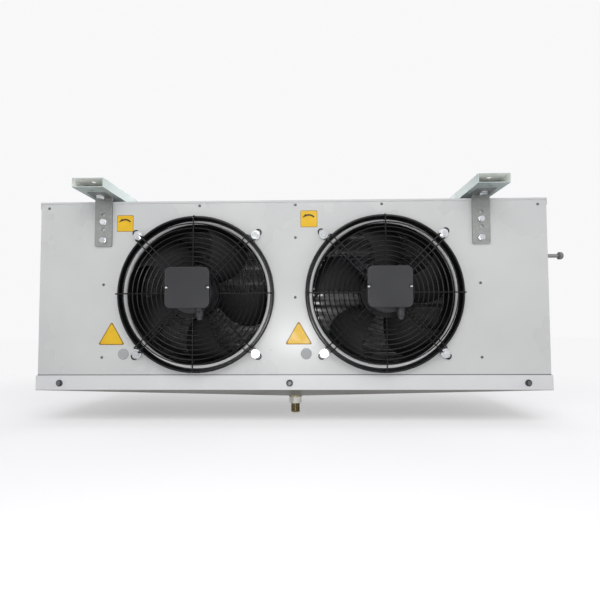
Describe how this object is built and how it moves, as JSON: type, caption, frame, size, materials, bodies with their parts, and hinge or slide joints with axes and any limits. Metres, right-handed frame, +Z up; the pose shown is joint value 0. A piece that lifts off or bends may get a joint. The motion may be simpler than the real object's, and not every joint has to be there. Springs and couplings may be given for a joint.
{
  "type": "walk-in unit cooler",
  "caption": "Ceiling-hung cold-room unit cooler: sheet-metal casing on hanging rails, guarded axial fans with external-rotor motors, finned coil, drain pan with outlet.",
  "frame": {"origin": "centre of the four ceiling-bolt holes, on the top plane of the hanging rails", "axes": "+X to the right seen from the room, +Y towards the back (air intake), +Z up"},
  "size_m": [1.368, 0.647, 0.6075],
  "materials": {
    "casing_paint": "light grey powder coat",
    "ring_black": "glossy black powder coat",
    "shroud_black": "black moulded plastic",
    "guard_black": "black coated wire",
    "blade_black": "black glass-filled plastic",
    "motor_black": "black moulded plastic",
    "motor_aluminium": "die-cast aluminium",
    "core_steel": "steel core with windings",
    "bright_steel": "ground steel",
    "rail_zinc": "bright zinc plate",
    "bracket_zinc": "dull galvanised",
    "sheet_zinc": "galvanised sheet",
    "bolt_steel": "bright zinc plate",
    "plug_grey": "grey plastic",
    "fin_aluminium": "plain aluminium foil",
    "copper": "drawn copper",
    "drain_brass": "turned brass",
    "drain_nickel": "nickel plate",
    "cap_dark": "dark grey plastic",
    "heater_steel": "stainless sheath",
    "box_grey": "light grey plastic"
  },
  "bodies": {
    "casing": {"bracket_bolts": "bolt_steel", "cable_gland_left": "motor_black", "cable_gland_right": "motor_black", "coil_tubes": "copper", "defrost_heaters": "heater_steel", "distributor": "drain_brass", "drain_nut": "drain_nickel", "drain_pan": "casing_paint", "drain_spigot": "drain_brass", "drain_washer": "drain_brass", "drip_tray": "fin_aluminium", "end_panel_left": "casing_paint", "end_panel_right": "casing_paint", "fan_baffle": "sheet_zinc", "fan_guard_left": "guard_black", "fan_guard_right": "guard_black", "fan_panel": "casing_paint", "fan_ring_left": "ring_black", "fan_ring_right": "ring_black", "fan_shroud_left": "shroud_black", "fan_shroud_right": "shroud_black", "feed_tubes": "copper", "fin_pack": "fin_aluminium", "flare_cap": "cap_dark", "front_bracket_left": "bracket_zinc", "front_bracket_right": "bracket_zinc", "guard_bolts": "bolt_steel", "hanging_rail_left": "rail_zinc", "hanging_rail_right": "rail_zinc", "hole_plugs": "plug_grey", "junction_box": "box_grey", "lid_screws": "bolt_steel", "liquid_line": "copper", "motor_bearings": "bright_steel", "motor_flange_left": "motor_aluminium", "motor_flange_right": "motor_aluminium", "motor_housing_left": "motor_black", "motor_housing_right": "motor_black", "pan_screws": "bolt_steel", "rail_bolts": "bolt_steel", "rear_bracket_left": "bracket_zinc", "rear_bracket_right": "bracket_zinc", "return_bends": "copper", "stator_core_left": "core_steel", "stator_core_right": "core_steel", "suction_header": "copper", "terminal_box_left": "motor_black", "terminal_box_right": "motor_black", "terminal_lid_left": "motor_black", "terminal_lid_right": "motor_black", "top_cover": "casing_paint", "tube_sheet_left": "sheet_zinc", "tube_sheet_right": "sheet_zinc"},
    "fan_left": {"impeller_left": "blade_black", "rotor_shaft_left": "bright_steel", "rotor_shell_left": "motor_aluminium"},
    "fan_right": {"impeller_right": "blade_black", "rotor_shaft_right": "bright_steel", "rotor_shell_right": "motor_aluminium"}
  },
  "joints": [
    {"name": "fan_left_spin", "type": "hinge", "parent": "casing", "child": "fan_left", "pos_m": [-0.242, -0.235, -0.2775], "axis": [0, -1, 0], "continuous": true},
    {"name": "fan_right_spin", "type": "hinge", "parent": "casing", "child": "fan_right", "pos_m": [0.237, -0.235, -0.2775], "axis": [0, -1, 0], "continuous": true}
  ]
}
